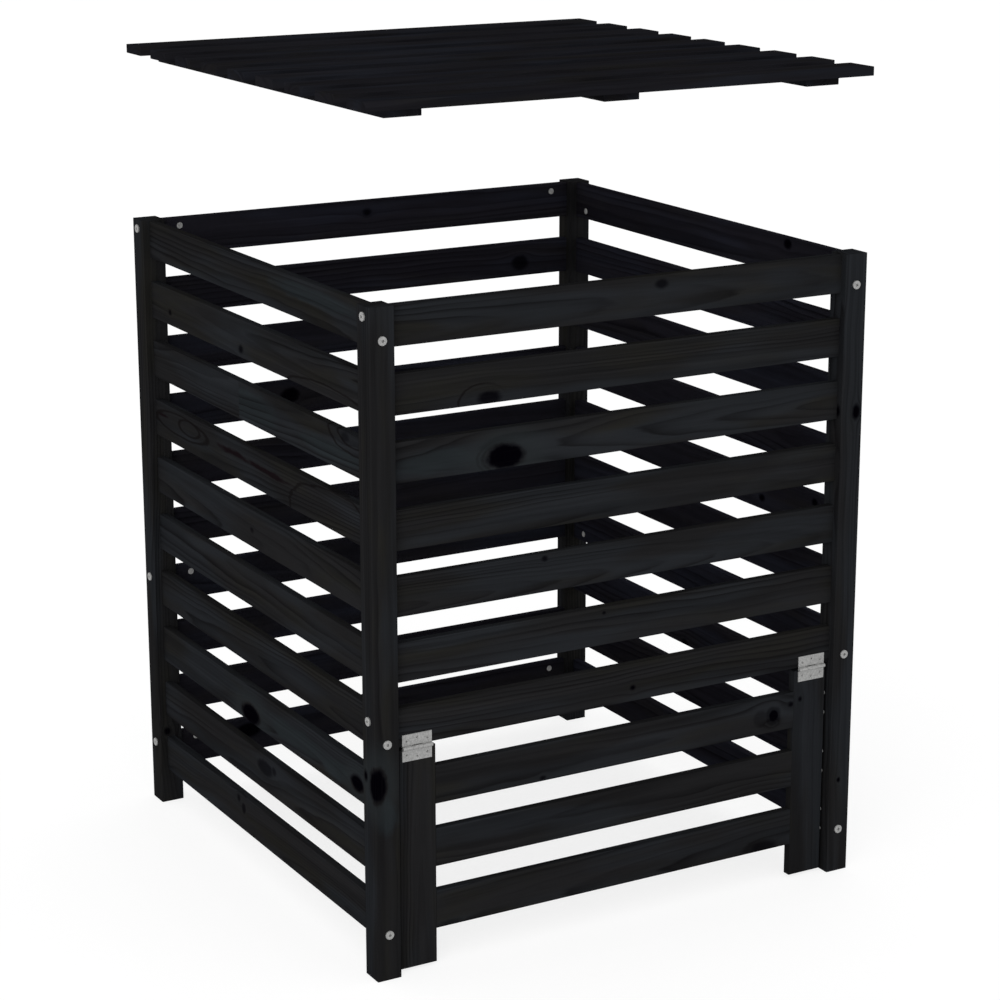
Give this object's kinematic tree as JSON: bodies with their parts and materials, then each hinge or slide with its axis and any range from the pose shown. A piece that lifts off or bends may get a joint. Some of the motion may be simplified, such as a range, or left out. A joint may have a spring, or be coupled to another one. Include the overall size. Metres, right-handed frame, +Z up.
{
  "type": "compost bin",
  "caption": "Square slatted wooden compost bin with corner posts, a flap door low in the front on butt hinges and a loose slatted lid lifted above the open top.",
  "frame": {"origin": "on the ground at the middle of the plan, level with the feet of the posts", "axes": "+Z up, +X to the right seen from the front, -Y out of the front, where the door is"},
  "size_m": [0.83, 0.83, 1.2525],
  "materials": {
    "black_pine": "black stain, matt",
    "zinc_steel": "zinc plated, dull",
    "dowel_wood": "plain"
  },
  "bodies": {
    "bin": {"post_front_left": "black_pine", "post_front_right": "black_pine", "post_back_right": "black_pine", "post_back_left": "black_pine", "front_slat_1": "black_pine", "front_slat_2": "black_pine", "front_slat_3": "black_pine", "front_slat_4": "black_pine", "front_slat_5": "black_pine", "front_slat_6": "black_pine", "front_slat_7": "black_pine", "right_slat_1": "black_pine", "right_slat_2": "black_pine", "right_slat_3": "black_pine", "right_slat_4": "black_pine", "right_slat_5": "black_pine", "right_slat_6": "black_pine", "right_slat_7": "black_pine", "right_slat_8": "black_pine", "right_slat_9": "black_pine", "right_slat_10": "black_pine", "back_slat_1": "black_pine", "back_slat_2": "black_pine", "back_slat_3": "black_pine", "back_slat_4": "black_pine", "back_slat_5": "black_pine", "back_slat_6": "black_pine", "back_slat_7": "black_pine", "back_slat_8": "black_pine", "back_slat_9": "black_pine", "back_slat_10": "black_pine", "left_slat_1": "black_pine", "left_slat_2": "black_pine", "left_slat_3": "black_pine", "left_slat_4": "black_pine", "left_slat_5": "black_pine", "left_slat_6": "black_pine", "left_slat_7": "black_pine", "left_slat_8": "black_pine", "left_slat_9": "black_pine", "left_slat_10": "black_pine", "dowels": "dowel_wood", "bolts": "zinc_steel", "barrel_nuts": "zinc_steel", "hinge_fixed_leaves": "zinc_steel", "hinge_pins": "zinc_steel", "hinge_fixed_screws": "zinc_steel"},
    "door": {"door_stile_left": "black_pine", "door_stile_right": "black_pine", "door_slat_1": "black_pine", "door_slat_2": "black_pine", "door_slat_3": "black_pine", "door_screws": "zinc_steel", "hinge_door_leaves": "zinc_steel", "hinge_door_screws": "zinc_steel"},
    "lid": {"lid_slats": "black_pine", "lid_batten_left": "black_pine", "lid_batten_middle": "black_pine", "lid_batten_right": "black_pine", "lid_screws": "zinc_steel"}
  },
  "joints": [
    {"name": "door_swing", "type": "hinge", "parent": "bin", "child": "door", "pos_m": [0, -0.40325, 0.34167], "axis": [-1, 0, 0], "range_deg": [-15, 175]},
    {"name": "lid_lift", "type": "slide", "parent": "bin", "child": "lid", "axis": [0, 0, 1], "range_m": [-0.2598, 0]}
  ]
}
